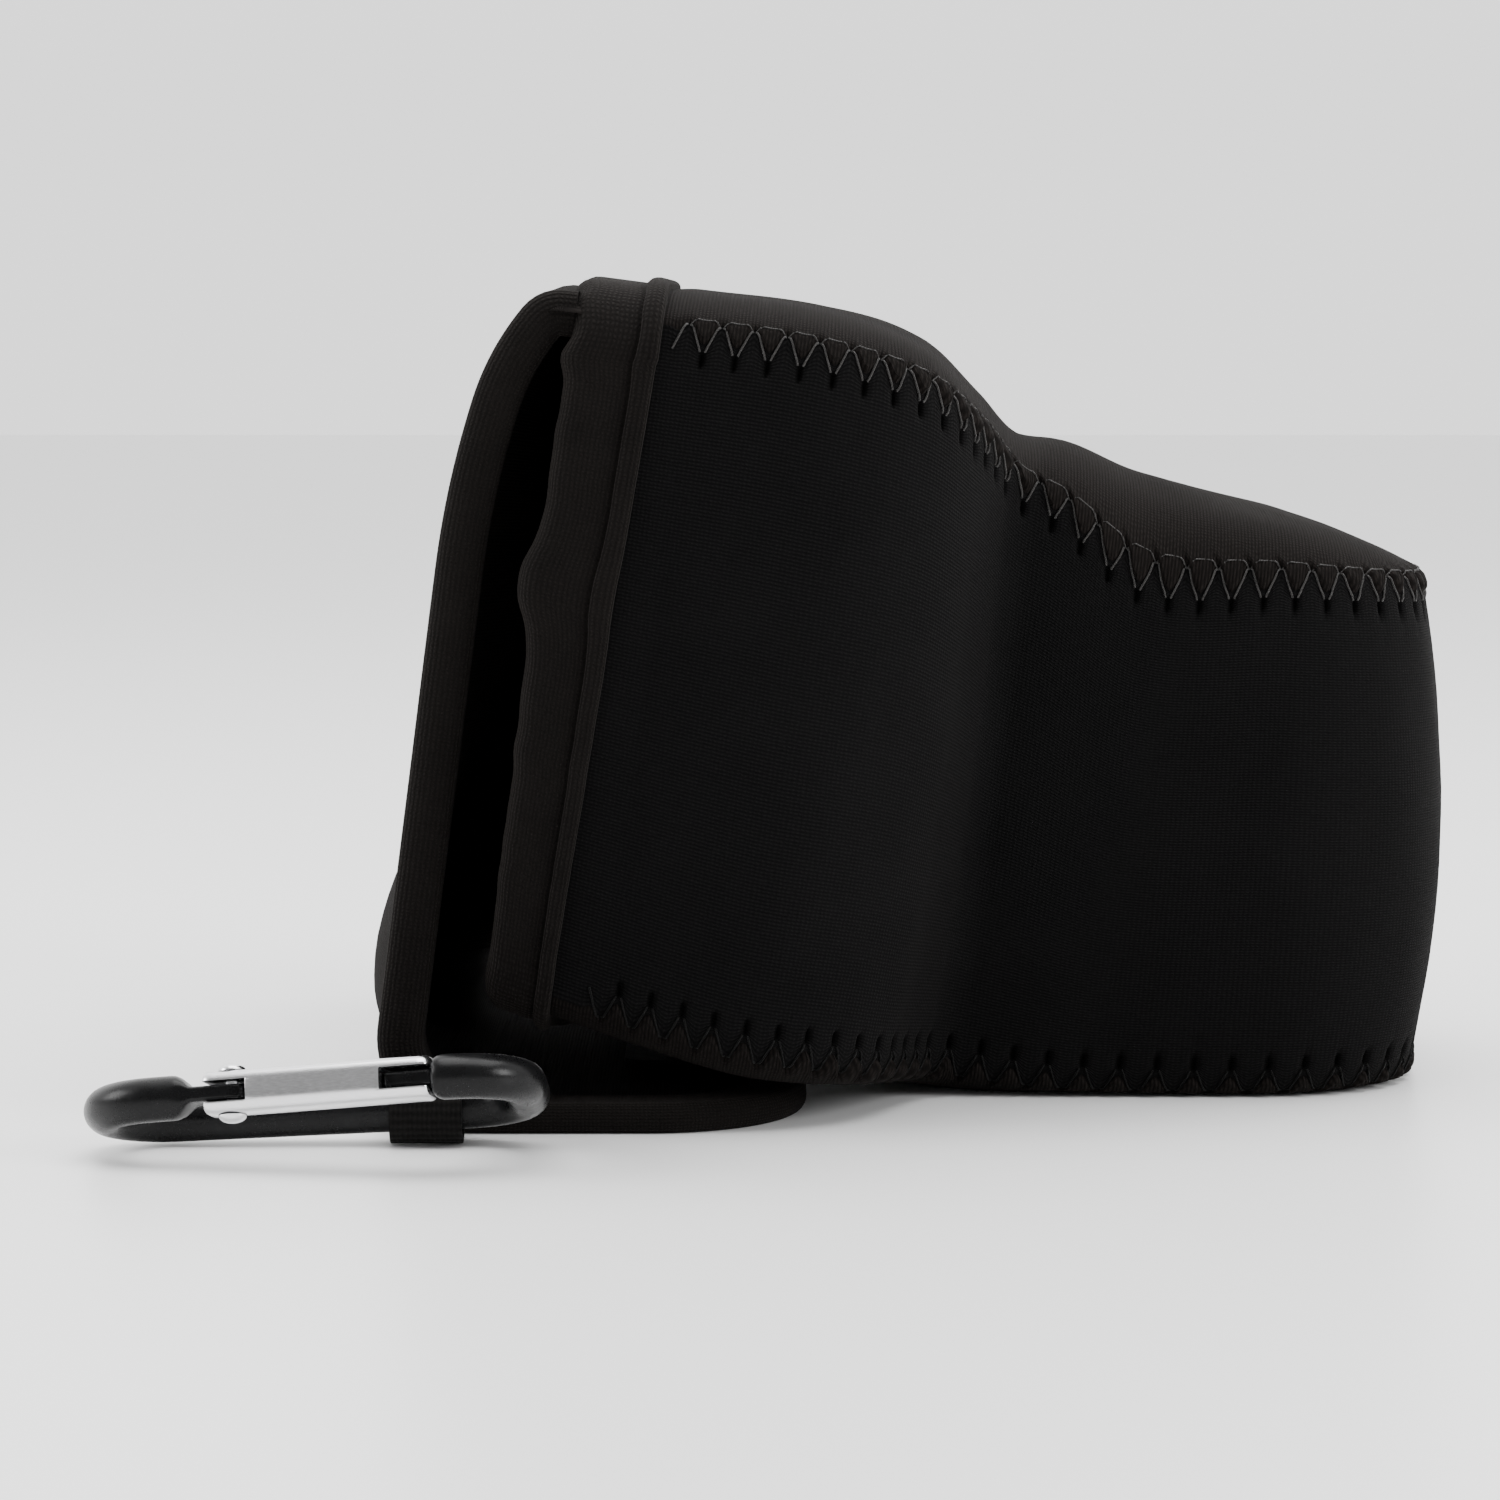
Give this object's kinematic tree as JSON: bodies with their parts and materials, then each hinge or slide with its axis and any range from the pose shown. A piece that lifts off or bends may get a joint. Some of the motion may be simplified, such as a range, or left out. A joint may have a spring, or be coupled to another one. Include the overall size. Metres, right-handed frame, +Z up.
{
  "type": "camera case",
  "caption": "Soft neoprene camera case with a lens snout, a bound flap that folds in under the pouch, and a small carabiner.",
  "frame": {"origin": "on the floor under the folded-in tongue's rounded end, in the middle of the case's width", "axes": "+Z up, -Y towards the lens snout's tip, +X across the case, away from the side with the carabiner"},
  "size_m": [0.1559, 0.1765, 0.108],
  "materials": {
    "neoprene": "matt black neoprene faced with fine knit on both sides",
    "knit_tape": "black ribbed knit binding tape",
    "webbing": "black woven webbing",
    "hook_loop": "black hook and loop tape",
    "thread": "dark grey polyester thread",
    "black_aluminium": "black anodised aluminium, satin",
    "bright_aluminium": "brushed bright aluminium",
    "spring_steel": "plain spring wire"
  },
  "bodies": {
    "pouch": {"side_band": "neoprene", "top_panel": "neoprene", "bottom_panel": "neoprene", "left_edge_binding": "knit_tape", "right_edge_binding": "knit_tape", "bottom_edge_binding": "knit_tape", "loop_patch": "hook_loop"},
    "flap": {"flap_panel": "neoprene", "flap_left_binding": "knit_tape", "flap_right_binding": "knit_tape", "carabiner_loop": "webbing", "loop_bartack": "thread"},
    "tongue": {"tongue_panel": "neoprene", "tongue_binding": "knit_tape", "hook_patch": "hook_loop"},
    "carabiner": {"carabiner_frame": "black_aluminium"},
    "gate": {"carabiner_gate": "bright_aluminium", "gate_rivet": "bright_aluminium", "gate_spring": "spring_steel"}
  },
  "joints": [
    {"name": "flap_fold", "type": "hinge", "parent": "pouch", "child": "flap", "pos_m": [0, 0.02252, 0.10625], "axis": [1, 0, 0], "range_deg": [0, 120]},
    {"name": "tongue_peel", "type": "hinge", "parent": "flap", "child": "tongue", "pos_m": [0, 0.03523, 0], "axis": [1, 0, 0], "range_deg": [0, 80]},
    {"name": "carabiner_swing", "type": "hinge", "parent": "flap", "child": "carabiner", "pos_m": [-0.0661, 0.04033, 0.0045], "axis": [0, 0.9989, -0.0471], "range_deg": [-18, 70]},
    {"name": "gate_swing", "type": "hinge", "parent": "carabiner", "child": "gate", "pos_m": [-0.08292, 0.06274, 0.00924], "axis": [0.3252, 0.0445, 0.9446], "range_deg": [0, 30], "stiffness_Nm_per_rad": 0.02, "springref_deg": -20.05}
  ]
}
